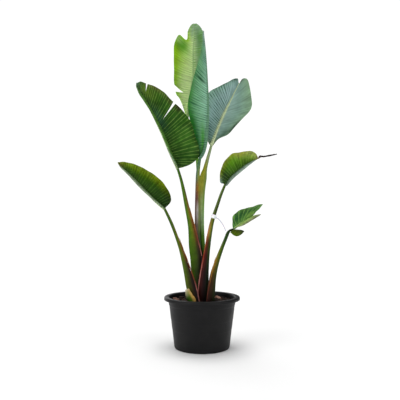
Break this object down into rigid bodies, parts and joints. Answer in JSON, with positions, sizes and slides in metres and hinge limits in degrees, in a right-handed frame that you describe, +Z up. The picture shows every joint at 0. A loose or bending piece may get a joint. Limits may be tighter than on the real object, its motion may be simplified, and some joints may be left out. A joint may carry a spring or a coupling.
{
  "type": "potted bird of paradise",
  "caption": "Bird of paradise house plant with a fan of long-stalked paddle leaves, some torn, growing in a round black nursery pot of soil.",
  "frame": {"origin": "centre of the pot's flat base, on the surface that the pot stands on", "axes": "+Z up along the pot's axis, X across the fan of leaves, -Y towards the front of the plant"},
  "size_m": [0.5365, 0.2971, 1.168],
  "materials": {
    "black_pot": "satin",
    "potting_soil": "matte",
    "green_stalk": "satin",
    "cut_stalk": "matte",
    "upper_leaf": "satin",
    "under_leaf": "satin",
    "young_leaf": "satin",
    "bract": "satin",
    "dried_leaf": "matte",
    "white_tie": "satin"
  },
  "bodies": {
    "root": {"pot": "black_pot", "soil": "potting_soil", "stalk_low_left": "green_stalk", "stalk_tall_left": "green_stalk", "stalk_centre_front": "green_stalk", "stalk_right_back": "green_stalk", "stalk_young_back": "green_stalk", "stalk_arching_right": "green_stalk", "stalk_small_right": "green_stalk", "cut_stub": "cut_stalk", "blade_low_left": "upper_leaf", "blade_tall_left": "upper_leaf", "blade_centre_front": "under_leaf", "blade_young_back": "young_leaf", "blade_right_back": "under_leaf", "blade_arching_right": "upper_leaf", "blade_small_right": "upper_leaf", "bract_small_right": "bract", "dried_tip": "dried_leaf", "plant_tie": "white_tie"}
  },
  "joints": []
}
